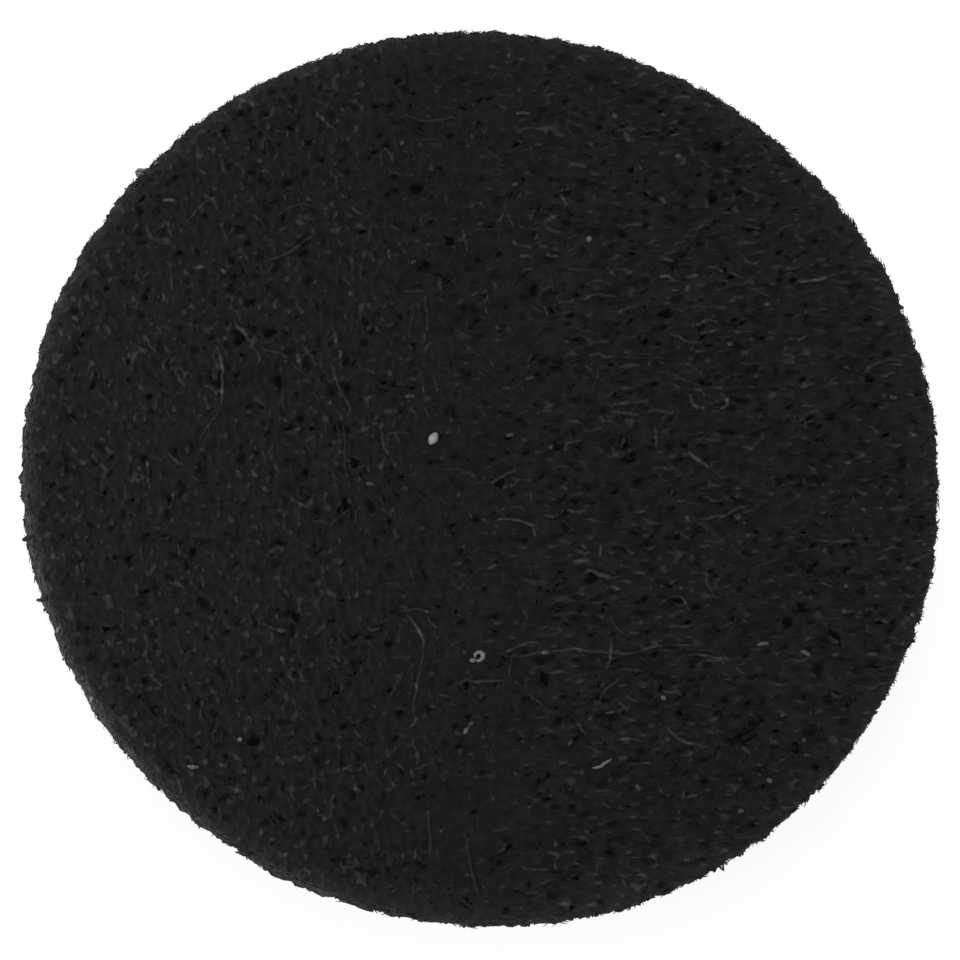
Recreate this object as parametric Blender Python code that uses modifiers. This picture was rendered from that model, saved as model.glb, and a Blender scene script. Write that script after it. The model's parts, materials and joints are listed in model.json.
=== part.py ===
"""A round felt pad for the foot of a chair or table: one disc, die-cut from thick needled felt.

Units are metres and +Z is up. The pad lies on its flat underside at Z = 0. The Z axis runs
through the middle of its outline, and +X lies along its longest diameter, because felt that is
cut while it is stretched springs back to a slight oval.
"""
import math

import bpy

# Outline, seen from above
LONG_DIAMETER = 0.0386
SHORT_DIAMETER = 0.0374
LOBE_COUNT = 3
LOBE_HEIGHT = 0.00004
LOBE_ANGLE = math.radians(70.0)

# Section, from the underside to the worn-in rim of the upper face
THICKNESS = 0.005
SHOULDER_RADIUS = 0.0007

# Fineness of the mesh
OUTLINE_POINTS = 240
SHOULDER_STEPS = 5
SMOOTH_UNDER = math.radians(40.0)

# Black felt: a matt fibre surface with a faint sheen
FELT_COLOUR = (0.013, 0.013, 0.013, 1.0)
FELT_ROUGHNESS = 0.95
FELT_SPECULAR = 0.1
FELT_SHEEN = 0.05


def clear_scene():
    """Take out whatever the file holds, so that the pad stands alone."""
    for old in list(bpy.data.objects):
        bpy.data.objects.remove(old, do_unlink=True)


def outline_radius(angle):
    """Radius of the cut edge at an angle from +X: an oval with three very low lobes."""
    middle = (LONG_DIAMETER + SHORT_DIAMETER) / 4
    oval = (LONG_DIAMETER - SHORT_DIAMETER) / 4
    lobes = LOBE_HEIGHT * math.cos(LOBE_COUNT * (angle - LOBE_ANGLE))
    return middle + oval * math.cos(2 * angle) + lobes


def outline_middle():
    """Middle of the outline's box, which the lobes push a little off the oval's own middle."""
    angles = [2 * math.pi * step / OUTLINE_POINTS for step in range(OUTLINE_POINTS)]
    xs = [outline_radius(angle) * math.cos(angle) for angle in angles]
    ys = [outline_radius(angle) * math.sin(angle) for angle in angles]
    return (min(xs) + max(xs)) / 2, (min(ys) + max(ys)) / 2


def felt_material():
    """Principled material of the black felt."""
    felt = bpy.data.materials.new("black_felt")
    felt.use_nodes = True
    shader = felt.node_tree.nodes["Principled BSDF"]
    shader.inputs["Base Color"].default_value = FELT_COLOUR
    shader.inputs["Metallic"].default_value = 0.0
    shader.inputs["Roughness"].default_value = FELT_ROUGHNESS
    shader.inputs["Specular IOR Level"].default_value = FELT_SPECULAR
    shader.inputs["Sheen Weight"].default_value = FELT_SHEEN
    felt.diffuse_color = FELT_COLOUR
    return felt


def cut_disc(name):
    """Cut the slab of felt to the outline, standing on Z = 0."""
    bpy.ops.mesh.primitive_cylinder_add(
        vertices=OUTLINE_POINTS, radius=1.0, depth=THICKNESS, end_fill_type="NGON"
    )
    disc = bpy.context.object
    disc.name = name
    disc.data.name = name
    middle_x, middle_y = outline_middle()
    for vertex in disc.data.vertices:
        angle = math.atan2(vertex.co.y, vertex.co.x)
        radius = outline_radius(angle)
        vertex.co.x = radius * math.cos(angle) - middle_x
        vertex.co.y = radius * math.sin(angle) - middle_y
        vertex.co.z += THICKNESS / 2
    return disc


def round_upper_rim(disc):
    """Round the rim of the upper face, where the felt is soft; the cut lower rim stays square."""
    upper_rim = disc.vertex_groups.new(name="upper_rim")
    halfway = THICKNESS / 2
    upper_rim.add([v.index for v in disc.data.vertices if v.co.z > halfway], 1.0, "REPLACE")
    shoulder = disc.modifiers.new("shoulder", "BEVEL")
    shoulder.limit_method = "VGROUP"
    shoulder.vertex_group = upper_rim.name
    shoulder.offset_type = "OFFSET"
    shoulder.width = min(SHOULDER_RADIUS, halfway)
    shoulder.segments = SHOULDER_STEPS
    shoulder.use_clamp_overlap = False


def build_felt_pad(collection):
    """The whole pad: one solid disc of felt."""
    pad = cut_disc("felt_pad")
    round_upper_rim(pad)
    pad.data.materials.append(felt_material())
    pad.data.shade_smooth()
    pad.data.set_sharp_from_angle(angle=SMOOTH_UNDER)
    for linked in list(pad.users_collection):
        linked.objects.unlink(pad)
    collection.objects.link(pad)
    return pad


clear_scene()
furniture_pad = bpy.data.collections.new("felt_furniture_pad")
bpy.context.scene.collection.children.link(furniture_pad)
build_felt_pad(furniture_pad)
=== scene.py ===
# %% [markdown]
# # A black felt pad for the foot of a chair
# The real pad is one disc, punched out of a thick sheet of needled felt. Needled felt is loose
# fibre that barbed needles have tangled until it holds together by itself, so it has no weave:
# it is a mat of short fibres, with pinholes between them and a few long hairs lying on top.
#
# The notebook takes the plain solid of the pad as its frame and gives it that surface: an
# evenly meshed body with real pinholes, thousands of fibres laid over it, and the stray hairs,
# specks of lint and ragged tufts that the photo shows.

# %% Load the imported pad
import json
import math

import bmesh
import bpy
import numpy as np
from mathutils import Matrix, Quaternion, Vector, kdtree, noise
from mathutils.bvhtree import BVHTree

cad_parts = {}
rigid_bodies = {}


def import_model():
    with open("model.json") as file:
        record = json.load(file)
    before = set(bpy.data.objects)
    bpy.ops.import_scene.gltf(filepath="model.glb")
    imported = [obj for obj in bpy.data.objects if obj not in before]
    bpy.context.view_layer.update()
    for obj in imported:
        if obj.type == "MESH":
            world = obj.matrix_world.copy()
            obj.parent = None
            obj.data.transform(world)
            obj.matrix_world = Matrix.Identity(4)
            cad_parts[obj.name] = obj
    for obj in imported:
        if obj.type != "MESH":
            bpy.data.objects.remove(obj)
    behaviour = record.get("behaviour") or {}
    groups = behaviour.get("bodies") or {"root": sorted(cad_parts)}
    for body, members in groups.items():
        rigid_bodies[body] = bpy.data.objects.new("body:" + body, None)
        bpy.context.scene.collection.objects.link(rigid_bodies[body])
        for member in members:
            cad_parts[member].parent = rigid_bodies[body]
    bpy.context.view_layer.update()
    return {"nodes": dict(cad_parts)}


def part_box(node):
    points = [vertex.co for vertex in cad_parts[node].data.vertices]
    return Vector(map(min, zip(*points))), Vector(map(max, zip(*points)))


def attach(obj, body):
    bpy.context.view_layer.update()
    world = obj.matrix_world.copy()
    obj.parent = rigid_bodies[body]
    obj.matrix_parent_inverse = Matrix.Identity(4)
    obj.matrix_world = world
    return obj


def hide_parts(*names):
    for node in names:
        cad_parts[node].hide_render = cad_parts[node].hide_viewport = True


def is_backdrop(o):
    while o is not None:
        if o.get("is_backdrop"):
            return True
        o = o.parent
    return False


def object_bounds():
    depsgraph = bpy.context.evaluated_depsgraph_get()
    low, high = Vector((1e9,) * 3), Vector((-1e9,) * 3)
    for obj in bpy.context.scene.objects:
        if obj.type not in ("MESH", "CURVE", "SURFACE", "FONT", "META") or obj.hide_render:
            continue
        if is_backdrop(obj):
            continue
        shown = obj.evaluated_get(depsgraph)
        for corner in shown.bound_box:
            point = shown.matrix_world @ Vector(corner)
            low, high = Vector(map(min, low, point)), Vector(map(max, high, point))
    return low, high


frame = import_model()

MM = 0.001
pad_low, pad_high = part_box("felt_pad")
TOP = pad_high.z
print("pad, mm:", [round(side / MM, 2) for side in pad_high - pad_low])

# %% [markdown]
# ## The outline of the disc
# The die cut the disc while the felt was stretched, so it sprang back to a slight oval. Fibres
# at the edge have to follow that oval. It could be written down again here, but the solid
# already holds it: the corners of its wall, sorted by their angle, give the radius all round.

# %% Read the outline from the solid
FOOT_HEIGHT = 0.1 * MM
NEAR_RIM = 0.9

corners = np.array([tuple(v.co) for v in frame["nodes"]["felt_pad"].data.vertices])
on_foot = corners[corners[:, 2] < pad_low.z + FOOT_HEIGHT]
foot_radii = np.hypot(on_foot[:, 0], on_foot[:, 1])
rim = on_foot[foot_radii > NEAR_RIM * foot_radii.max()]
rim_angles = np.arctan2(rim[:, 1], rim[:, 0]) % (2 * math.pi)
order = np.argsort(rim_angles)
rim_angles = rim_angles[order]
rim_radii = np.hypot(rim[:, 0], rim[:, 1])[order]


def outline_radius(angle):
    """Radius of the cut edge at one angle or an array of angles."""
    return np.interp(np.asarray(angle) % (2 * math.pi), rim_angles, rim_radii, period=2 * math.pi)


print("radius from", round(rim_radii.min() / MM, 2), "to", round(rim_radii.max() / MM, 2), "mm")

# %% [markdown]
# ## The camera
# The photo looks almost straight down. A thin strip of the wall shows at the left, so the
# camera leans a few degrees that way. It could stand close with a wide lens, but that would
# show more of the wall on one side than the photo does: a long lens from a third of a metre
# keeps the circle a circle. The photo is also turned against the pad, whose longest diameter
# is its X axis, so directions in the photo go through one small helper.

# %% Set the camera over the pad
PHOTO_SIZE = 960
PIXELS_PER_MM = 23.85
MIDDLE_IN_PHOTO = (488.8, 475.2)
LONG_DIAMETER_IN_PHOTO = math.radians(-18.3)
LEAN = math.radians(7.3)
LEAN_IN_PHOTO = math.radians(203.0)
CAMERA_DISTANCE = 320 * MM
SENSOR = 36.0
NEAREST_SEEN = 10 * MM
FARTHEST_SEEN = 10000 * MM


def on_pad(photo_angle):
    """Direction on the pad, from +X, of a direction in the photo, from its right-hand side."""
    return photo_angle - LONG_DIAMETER_IN_PHOTO


def level(angle):
    """Level unit vector at an angle from +X."""
    return Vector((math.cos(angle), math.sin(angle), 0.0))


half_photo = PHOTO_SIZE / 2
frame_width = PHOTO_SIZE / PIXELS_PER_MM * MM
lean_axis = level(on_pad(LEAN_IN_PHOTO) + math.pi / 2)
camera_turn = Matrix.Rotation(LEAN, 4, lean_axis) @ Matrix.Rotation(on_pad(0.0), 4, "Z")
right, up, back = (camera_turn.to_3x3().col[axis].copy() for axis in range(3))
aside = (MIDDLE_IN_PHOTO[0] - half_photo) / PIXELS_PER_MM * MM
above = (half_photo - MIDDLE_IN_PHOTO[1]) / PIXELS_PER_MM * MM
camera_place = Vector((0.0, 0.0, TOP)) + back * CAMERA_DISTANCE - right * aside - up * above

camera_data = bpy.data.cameras.new("camera")
camera_data.sensor_width = SENSOR
camera_data.lens = SENSOR * CAMERA_DISTANCE / frame_width
camera_data.clip_start = NEAREST_SEEN
camera_data.clip_end = FARTHEST_SEEN
camera = bpy.data.objects.new("camera", camera_data)
camera.matrix_world = Matrix.Translation(camera_place) @ camera_turn
bpy.context.scene.collection.objects.link(camera)
bpy.context.scene.camera = camera
print("lens", round(camera_data.lens), "mm, leaning", round(math.degrees(LEAN), 1), "degrees")

# %% [markdown]
# The same numbers give the way back, from a spot in the photo to a spot on the pad: a ray from
# the camera through the spot, cut off where it meets the felt. Later it puts each stray hair
# where the photo has it.

# %% Find the way back from the photo to the pad


def under_pixel(x, y, height=TOP):
    """The spot on a level plane that shows at a spot in the photo."""
    across = (x - half_photo) / PIXELS_PER_MM * MM
    upward = (half_photo - y) / PIXELS_PER_MM * MM
    ray = right * across + up * upward - back * CAMERA_DISTANCE
    return camera_place + ray * ((height - camera_place.z) / ray.z)


def photo_length(pixels):
    """The length on the upper face of so many pixels of the photo."""
    return pixels / PIXELS_PER_MM * MM


photo_middle = under_pixel(half_photo, half_photo)
print("the photo's middle looks at, mm:", [round(part / MM, 2) for part in photo_middle])

# %% [markdown]
# ## White ground and soft light
# The photo was taken on white, with the light so soft that hardly any shadow is left. Turning
# the lamps up until the ground burns out would also wash out the black felt. Instead the lamps
# stay at a plain level, and the ground adds a little white of its own for whatever sees it
# directly, so the pad's faint shadow is still there.

# %% Mix the ground
GROUND_WHITE = 0.85
GROUND_GLOW = 0.87
GROUND_SHADE = 0.20


def seen_directly(tree):
    """A signal that is 1 for rays from the camera, also by way of gloss or glass, and else 0."""
    path = tree.nodes.new("ShaderNodeLightPath")
    signal = path.outputs["Is Camera Ray"]
    for other in ("Is Glossy Ray", "Is Transmission Ray"):
        either = tree.nodes.new("ShaderNodeMath")
        either.operation = "MAXIMUM"
        tree.links.new(signal, either.inputs[0])
        tree.links.new(path.outputs[other], either.inputs[1])
        signal = either.outputs[0]
    return signal


def matt(tree, grey):
    """A matt shader of one grey."""
    shader = tree.nodes.new("ShaderNodeBsdfDiffuse")
    shader.inputs["Color"].default_value = (grey, grey, grey, 1.0)
    return shader.outputs[0]


def ground_material():
    """White to the eye, and a plain pale surface to the light."""
    ground = bpy.data.materials.new("white_ground")
    ground.use_nodes = True
    tree = ground.node_tree
    tree.nodes.remove(tree.nodes["Principled BSDF"])
    glow = tree.nodes.new("ShaderNodeEmission")
    glow.inputs["Strength"].default_value = GROUND_GLOW
    lit = tree.nodes.new("ShaderNodeAddShader")
    tree.links.new(glow.outputs[0], lit.inputs[0])
    tree.links.new(matt(tree, GROUND_SHADE), lit.inputs[1])
    choose = tree.nodes.new("ShaderNodeMixShader")
    tree.links.new(seen_directly(tree), choose.inputs[0])
    tree.links.new(matt(tree, GROUND_WHITE), choose.inputs[1])
    tree.links.new(lit.outputs[0], choose.inputs[2])
    tree.links.new(choose.outputs[0], tree.nodes["Material Output"].inputs["Surface"])
    return ground


white_ground = ground_material()
print("the ground glows", GROUND_GLOW, "and shows", GROUND_SHADE, "of the shadow")

# %% [markdown]
# The ground is a flat sheet, far wider than the picture, so that its end never shows. The room
# around it is a plain white world. It is dim as a lamp, and full white only for what sees it
# directly.

# %% Lay the ground and set the room
GROUND_SIZE = 4.0
GROUND_SQUARES = 8
SKY_LIGHT = 0.56

bpy.ops.mesh.primitive_grid_add(
    x_subdivisions=GROUND_SQUARES, y_subdivisions=GROUND_SQUARES, size=GROUND_SIZE)
ground = bpy.context.object
ground.name = "ground"
ground.data.materials.append(white_ground)
ground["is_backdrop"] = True

world = bpy.data.worlds.new("white_room")
bpy.context.scene.world = world
world.use_nodes = True
room = world.node_tree
dim = room.nodes["Background"]
dim.inputs["Color"].default_value = (1.0, 1.0, 1.0, 1.0)
dim.inputs["Strength"].default_value = SKY_LIGHT
bright = room.nodes.new("ShaderNodeBackground")
bright.inputs["Color"].default_value = (1.0, 1.0, 1.0, 1.0)
choose = room.nodes.new("ShaderNodeMixShader")
room.links.new(seen_directly(room), choose.inputs[0])
room.links.new(dim.outputs[0], choose.inputs[1])
room.links.new(bright.outputs[0], choose.inputs[2])
room.links.new(choose.outputs[0], room.nodes["World Output"].inputs["Surface"])
print("ground laid; the room gives", SKY_LIGHT, "of the light")

# %% [markdown]
# Three softboxes give the rest of the light. In the photo each raised fibre is bright above and
# has its shadow below, so the key light comes from the top of the picture. A low one from the
# left picks out the cut wall, and a weak one from below keeps the far rim from going dead. A
# lamp's power could be set by eye. Here it is worked out from the share of the light that it
# should give a level surface, so that a colour renders about as it is written.

# %% Hang the softboxes
SOFTBOX_DISTANCE = 0.40


def softbox(name, photo_angle, height_angle, side, share):
    """A square lamp aimed at the pad that gives a level surface the stated share of light."""
    lamp = bpy.data.lights.new(name, "AREA")
    lamp.shape = "SQUARE"
    lamp.size = side
    lamp.energy = share * math.pi ** 2 * SOFTBOX_DISTANCE ** 2 / math.sin(height_angle)
    holder = bpy.data.objects.new(name, lamp)
    towards = level(on_pad(photo_angle)) * math.cos(height_angle)
    towards.z = math.sin(height_angle)
    holder.location = Vector((0.0, 0.0, TOP)) + towards * SOFTBOX_DISTANCE
    holder.rotation_mode = "QUATERNION"
    holder.rotation_quaternion = towards.to_track_quat("Z", "Y")
    bpy.context.scene.collection.objects.link(holder)
    print(name, "gives", share, "of the light,", round(lamp.energy, 3), "W")


softbox("key_softbox", math.radians(105), math.radians(52), side=0.22, share=0.30)
softbox("wall_softbox", math.radians(190), math.radians(15), side=0.25, share=0.14)
softbox("fill_softbox", math.radians(300), math.radians(16), side=0.25, share=0.055)

bpy.context.scene.view_settings.view_transform = "Standard"

# %% [markdown]
# ## The finish of black felt
# Black felt is matt and never one flat black. Wads of fibre differ a little in shade, and the
# mat is grainy at the width of a fibre, with dark gaps and light strands in it. The dark of the
# gaps is painted shade, and the light of the strands is a painted highlight. A painted image
# could hold all that, but it would fit one size only. Noise of several sizes, multiplied
# together, gives the same mottling anywhere and on every piece alike.
#
# First come the small helpers: noise, a way to spread it over a range, sums and products, and a
# number that is painted into the mesh. That number is the shade: it darkens a pinhole, tells
# one fibre from the next, and fades a fibre's sides into the felt.

# %% Make helpers for the mottling


def noise_at(tree, place, size, detail=1.0):
    """Noise from 0 to 1 whose blotches are about as wide as the size given."""
    texture = tree.nodes.new("ShaderNodeTexNoise")
    texture.inputs["Scale"].default_value = 1.0 / size
    texture.inputs["Detail"].default_value = detail
    tree.links.new(place, texture.inputs["Vector"])
    return texture.outputs[0]


def spread(tree, signal, low, high, start=0.3, end=0.7):
    """Spread the part of a signal between start and end over the range from low to high."""
    ranged = tree.nodes.new("ShaderNodeMapRange")
    ranged.inputs["From Min"].default_value = start
    ranged.inputs["From Max"].default_value = end
    ranged.inputs["To Min"].default_value = low
    ranged.inputs["To Max"].default_value = high
    tree.links.new(signal, ranged.inputs["Value"])
    return ranged.outputs[0]


def combine(tree, operation, first, second):
    """Two signals multiplied, added or otherwise combined; either may be a plain number."""
    node = tree.nodes.new("ShaderNodeMath")
    node.operation = operation
    for socket, signal in zip(node.inputs, (first, second)):
        if isinstance(signal, float):
            socket.default_value = signal
        else:
            tree.links.new(signal, socket)
    return node.outputs[0]


def multiply(tree, *signals):
    """The product of several signals."""
    product = signals[0]
    for signal in signals[1:]:
        product = combine(tree, "MULTIPLY", product, signal)
    return product


def painted(tree, name):
    """A number painted into the mesh."""
    attribute = tree.nodes.new("ShaderNodeAttribute")
    attribute.attribute_name = name
    return attribute.outputs["Fac"]


print("helpers:", [helper.__name__ for helper in (noise_at, spread, combine, multiply, painted)])

# %% [markdown]
# The machine that laid the fibres left most of them level at the right of the photo, while at
# the left they lie every way. Two felts could be blended for that. It is simpler to let the
# noise follow the fibres: coordinates that are turned and squeezed stretch it into streaks, and
# a mix leads from nearly round blotches at the left to level streaks at the right. On the cut
# wall, where the needles dragged the fibres upright, the blotches are taller than wide.

# %% Lay the noise as the fibres lie
WALL_STRETCH = 2.0
TANGLED_IN_PHOTO = math.radians(100)
STREAKS_START = -6 * MM
STREAKS_END = 3 * MM
TANGLED_SHARE = 0.1
STREAKS_FINER = 0.85


def turned(tree, place, angle, stretch, shift=0.0):
    """Coordinates turned to a direction on the pad, so that noise stretches along it."""
    mapping = tree.nodes.new("ShaderNodeMapping")
    mapping.vector_type = "TEXTURE"
    mapping.inputs["Location"].default_value = (shift, shift, shift)
    mapping.inputs["Rotation"].default_value = (0.0, 0.0, angle)
    mapping.inputs["Scale"].default_value = (stretch, 1.0, WALL_STRETCH)
    tree.links.new(place, mapping.inputs["Vector"])
    return mapping.outputs[0]


def across_photo(tree, place, start, end, low=0.0, high=1.0):
    """From low to high between two distances to the right of the pad's middle in the photo."""
    split = tree.nodes.new("ShaderNodeSeparateXYZ")
    tree.links.new(turned(tree, place, on_pad(0.0), 1.0), split.inputs[0])
    return spread(tree, split.outputs["X"], low, high, start=start, end=end)


def laid_noise(tree, place, size, stretch, shift, detail=1.0):
    """Noise that is nearly round at the left of the photo and streaked level at the right."""
    tangle = turned(tree, place, on_pad(TANGLED_IN_PHOTO), 1 + stretch * TANGLED_SHARE, shift)
    streak = turned(tree, place, on_pad(0.0), stretch, shift)
    mix = tree.nodes.new("ShaderNodeMix")
    tree.links.new(across_photo(tree, place, STREAKS_START, STREAKS_END), mix.inputs["Factor"])
    tree.links.new(noise_at(tree, tangle, size, detail), mix.inputs["A"])
    tree.links.new(noise_at(tree, streak, size * STREAKS_FINER, detail), mix.inputs["B"])
    return mix.outputs["Result"]


print("streaks start at", STREAKS_START / MM, "mm and are full at", STREAKS_END / MM, "mm")

# %% [markdown]
# The rim is painted paler towards the outline, most of all at the right. Part of that is the
# paler fuzz of the rim, and part is a painted sheen: the light that a rounded rim catches at a
# grazing angle, painted in where the lamps leave it dark. The outline is an oval, so the place is
# divided by the pad's half lengths: that gives a number that reaches one at the rim all round,
# whatever the pad's size.

# %% Rub the rim
# Painted sheen and paler fuzz on the rim, more of it at the right:
RIM_FUZZ_SHEEN_LEFT = 0.12
RIM_FUZZ_SHEEN_RIGHT = 0.50
RIM_FUZZ_SHEEN_START = 0.925
RIM_FUZZ_SHEEN_FULL = 0.995
LEFT_FUZZ_SHEEN_END = -16 * MM
RIGHT_FUZZ_SHEEN_START = -6 * MM


def out_from_middle(tree, place):
    """From 0 in the middle of the pad to 1 at its outline."""
    mapping = tree.nodes.new("ShaderNodeMapping")
    mapping.vector_type = "TEXTURE"
    mapping.inputs["Scale"].default_value = (pad_high.x, pad_high.y, 1.0)
    tree.links.new(place, mapping.inputs["Vector"])
    level_place = tree.nodes.new("ShaderNodeVectorMath")
    level_place.operation = "MULTIPLY"
    level_place.inputs[1].default_value = (1.0, 1.0, 0.0)
    tree.links.new(mapping.outputs[0], level_place.inputs[0])
    length = tree.nodes.new("ShaderNodeVectorMath")
    length.operation = "LENGTH"
    tree.links.new(level_place.outputs[0], length.inputs[0])
    return length.outputs["Value"]


def rim_fuzz_and_sheen(tree, place):
    """Paler towards the rim, for its fuzz and a painted sheen, more so at the right."""
    near_rim = spread(tree, out_from_middle(tree, place), 0.0, 1.0, RIM_FUZZ_SHEEN_START, RIM_FUZZ_SHEEN_FULL)
    amount = across_photo(
        tree, place, LEFT_FUZZ_SHEEN_END, RIGHT_FUZZ_SHEEN_START, RIM_FUZZ_SHEEN_LEFT, RIM_FUZZ_SHEEN_RIGHT)
    return combine(tree, "ADD", 1.0, combine(tree, "MULTIPLY", near_rim, amount))


print("the rim is", RIM_FUZZ_SHEEN_LEFT, "to", RIM_FUZZ_SHEEN_RIGHT, "lighter than the face")

# %% [markdown]
# Now the felt itself. Its shine is set to almost nothing: gloss at a grazing angle draws a
# white line round each fibre, and the felt turns into a heap of wires. The relief comes from
# the same noise as the shade, so that light strands stand up and dark gaps lie low. Single
# fibres get the same finish with less relief, and so they blend into the mat. The cut wall is
# seen edge on in the photo, which squeezes eight blotches into one, so it is kept calmer.

# %% Mix the felt
FELT_BLACK = 0.0109
FELT_SPECULAR = 0.02
FELT_SHEEN = 0.015
SHEEN_ROUGHNESS = 0.45
CLUMP_SMOOTHEST = 0.78
DASH_RAISED = 0.35
GAP_SUNK = 0.6
WAD_SIZE = 3.2 * MM
PATCH_SIZE = 1.0 * MM
CLUMP_SIZE = 0.31 * MM
GAP_SIZE = 0.38 * MM
DASH_SIZE = 0.28 * MM
WAD_VARIES = 0.04
PATCH_VARIES = 0.08
CLUMP_VARIES = 0.36
# Painted shade darkens the gaps, and a painted highlight lightens the strands:
GAP_PAINTED_SHADE = 0.65
DASH_PAINTED_HIGHLIGHT = 1.4
# Painted light: the face is painted lighter towards the left, as if more light fell there.
LEFT_PAINTED_LIGHTER = 1.20
LEFT_LIGHT_FULL = -17 * MM
LEFT_LIGHT_END = -3 * MM
WALL_CALM = 0.6


def on_face(tree):
    """How strong the mottling is: full on the face, and calm where the mesh is painted as wall."""
    return spread(tree, painted(tree, "wall"), 1.0, 1.0 - WALL_CALM, start=0.0, end=1.0)


def mat_shade(tree, place, clump, gap, dash, vary):
    """How light the mat is from place to place, where 1 is its plain black."""
    wad = noise_at(tree, place, WAD_SIZE)
    patch = laid_noise(tree, place, PATCH_SIZE, stretch=1.5, shift=7 * MM)
    mottling = multiply(
        tree, spread(tree, wad, 1 - WAD_VARIES * vary, 1 + WAD_VARIES * vary),
        spread(tree, patch, 1 - PATCH_VARIES * vary, 1 + PATCH_VARIES * vary),
        spread(tree, clump, 1 - CLUMP_VARIES * vary, 1 + CLUMP_VARIES * vary, start=0.2, end=0.8),
        spread(tree, gap, 1 - GAP_PAINTED_SHADE * vary, 1.0, start=0.21, end=0.325),
        spread(tree, dash, 1.0, 1 + DASH_PAINTED_HIGHLIGHT * vary, start=0.635, end=0.80))
    calmed = combine(tree, "MULTIPLY", combine(tree, "SUBTRACT", mottling, 1.0), on_face(tree))
    # Painted light: the rim's sheen and the lighter left are multiplied into the shade.
    return multiply(
        tree, combine(tree, "ADD", calmed, 1.0), painted(tree, "shade"), rim_fuzz_and_sheen(tree, place),
        across_photo(tree, place, LEFT_LIGHT_FULL, LEFT_LIGHT_END, LEFT_PAINTED_LIGHTER, 1.0))


def felt_finish(name, black, relief, vary=1.0):
    """Matt felt of one black, varied by its mat of fibre and by the shade painted in the mesh."""
    felt = bpy.data.materials.new(name)
    felt.use_nodes = True
    tree = felt.node_tree
    shader = tree.nodes["Principled BSDF"]
    shader.inputs["Specular IOR Level"].default_value = FELT_SPECULAR
    shader.inputs["Sheen Weight"].default_value = FELT_SHEEN
    shader.inputs["Sheen Roughness"].default_value = SHEEN_ROUGHNESS
    place = tree.nodes.new("ShaderNodeTexCoord").outputs["Object"]
    clump = laid_noise(tree, place, CLUMP_SIZE, stretch=1.7, shift=0.0, detail=0.4)
    gap = laid_noise(tree, place, GAP_SIZE, stretch=1.6, shift=19 * MM, detail=0.4)
    dash = laid_noise(tree, place, DASH_SIZE, stretch=2.1, shift=31 * MM, detail=0.0)
    tint = tree.nodes.new("ShaderNodeVectorMath")
    tint.operation = "SCALE"
    tint.inputs[0].default_value = (black, black, black)
    tree.links.new(mat_shade(tree, place, clump, gap, dash, vary), tint.inputs["Scale"])
    tree.links.new(tint.outputs[0], shader.inputs["Base Color"])
    tree.links.new(spread(tree, clump, CLUMP_SMOOTHEST, 1.0), shader.inputs["Roughness"])
    dashes = spread(tree, dash, 0.0, DASH_RAISED, start=0.55, end=0.76)
    gaps = spread(tree, gap, -GAP_SUNK, 0.0, start=0.27, end=0.34)
    raised = combine(tree, "ADD", combine(tree, "ADD", clump, dashes), gaps)
    bump = tree.nodes.new("ShaderNodeBump")
    bump.inputs["Distance"].default_value = relief
    tree.links.new(on_face(tree), bump.inputs["Strength"])
    tree.links.new(raised, bump.inputs["Height"])
    tree.links.new(bump.outputs["Normal"], shader.inputs["Normal"])
    return felt


body_felt = felt_finish("body_felt", FELT_BLACK, relief=0.25 * MM)
fibre_felt = felt_finish("fibre_felt", FELT_BLACK, relief=0.12 * MM, vary=0.8)
wall_felt = felt_finish("wall_felt", FELT_BLACK, relief=0.03 * MM, vary=0.25)
print("materials:", body_felt.name, fibre_felt.name, wall_felt.name)

# %% [markdown]
# ## The body of the pad
# A cylinder has huge flat faces, with no points to push about. The body needs small even faces
# all over, the size of a pinhole. Subdividing would bunch them up in the middle, while a voxel
# remesh of the solid gives squares of one size on the faces, the rounded rim and the wall.

# %% Give the solid small even faces
VOXEL = 0.185 * MM


def new_piece(name, mesh, material):
    """A mesh as a piece of the pad, with its finish, riding on the pad's only body."""
    piece = bpy.data.objects.new(name, mesh)
    bpy.context.scene.collection.objects.link(piece)
    mesh.materials.clear()
    mesh.materials.append(material)
    mesh.shade_smooth()
    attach(piece, "root")
    return piece


plain = bpy.data.objects.new("plain", frame["nodes"]["felt_pad"].data.copy())
bpy.context.scene.collection.objects.link(plain)
remesh = plain.modifiers.new("even_faces", "REMESH")
remesh.mode = "VOXEL"
remesh.voxel_size = VOXEL
evaluated = plain.evaluated_get(bpy.context.evaluated_depsgraph_get())
body_mesh = bpy.data.meshes.new_from_object(evaluated)
bpy.data.objects.remove(plain)
body_mesh.name = "felt_body"
count = len(body_mesh.vertices)
print("even body:", count, "points,", len(body_mesh.polygons), "faces")

# %% [markdown]
# ## Wads and layers
# Felt swells and sinks a little where the wads of fibre are thick or thin, and its cut wall
# shows the layers that were needled together. Both are noise along the surface's normals: round
# for the wads, and flattened along the wall for the layers. A third, upright noise gives the
# outline the small waves that a worn die leaves. The underside is only ever pushed inwards,
# because the pad lies on it.

# %% Swell the felt
WAD_SWELL = 0.05 * MM
CLUMP_SWELL = 0.035 * MM
LAYER_SWELL = 0.035 * MM
LAYER_FLATTEN = 2.0
CUT_SWELL = 0.20 * MM
CUT_SIZE = 0.52 * MM
CUT_UPRIGHT = 0.4
WALL_TILT = 0.5


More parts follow.
